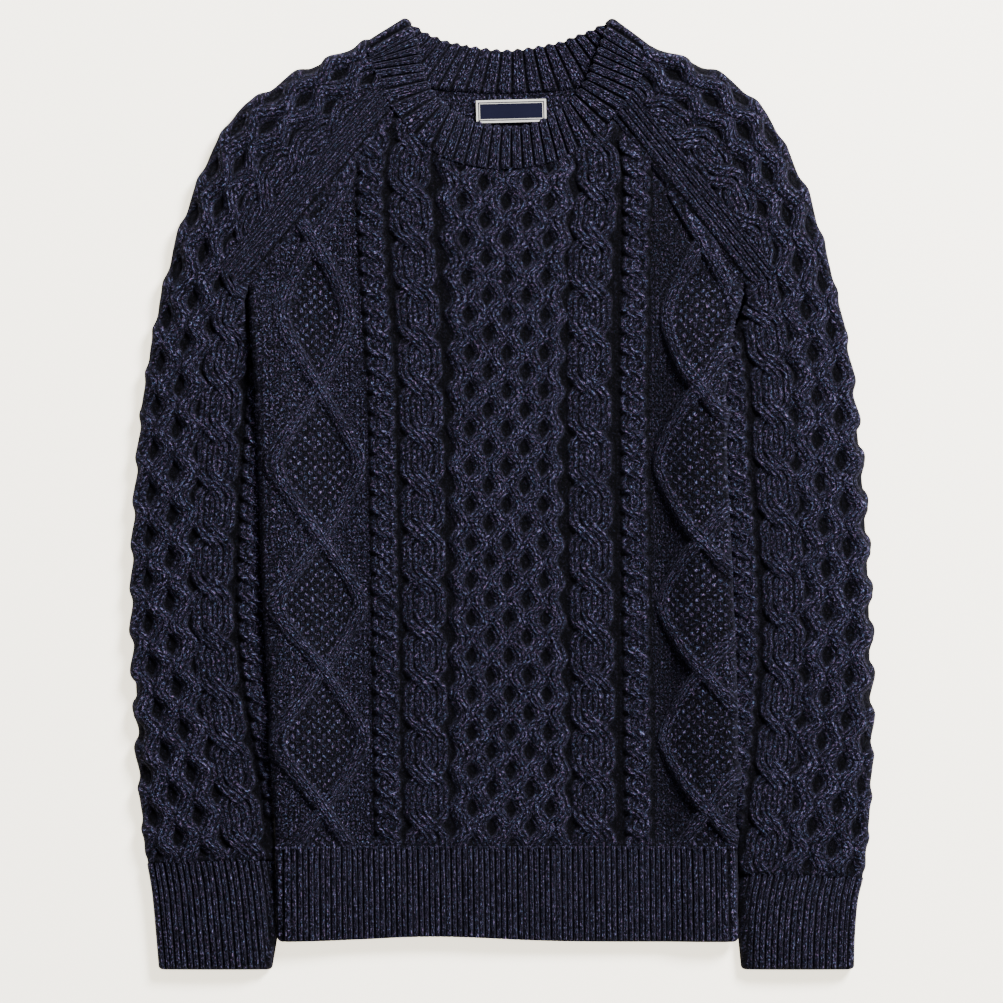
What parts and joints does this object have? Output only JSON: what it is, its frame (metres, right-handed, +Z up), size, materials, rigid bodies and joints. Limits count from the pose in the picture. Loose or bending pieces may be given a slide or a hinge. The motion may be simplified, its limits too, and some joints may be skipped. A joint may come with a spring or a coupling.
{
  "type": "cable-knit sweater",
  "caption": "Crew-neck raglan pullover in dark navy cable knit, laid flat on its back, with honeycomb, plait, rope and diamond cables, ribbed hem, cuffs and neckband, and a bare neck label.",
  "frame": {"origin": "centre of the sweater's bounding box at the surface it lies on", "axes": "+Z up from the surface, out of the front; +Y from the hem towards the neck; +X towards the right of a viewer who looks down with the neck at the top"},
  "size_m": [0.5716, 0.7315, 0.0317],
  "materials": {
    "cable_knit": "matt",
    "rib_knit": "matt",
    "woven_label": "satin"
  },
  "bodies": {
    "root": {"front_panel": "cable_knit", "back_panel": "cable_knit", "hem_front": "rib_knit", "hem_back": "rib_knit", "sleeve_left": "cable_knit", "sleeve_right": "cable_knit", "cuff_left": "rib_knit", "cuff_right": "rib_knit", "neckband": "rib_knit", "label": "woven_label"}
  },
  "joints": []
}
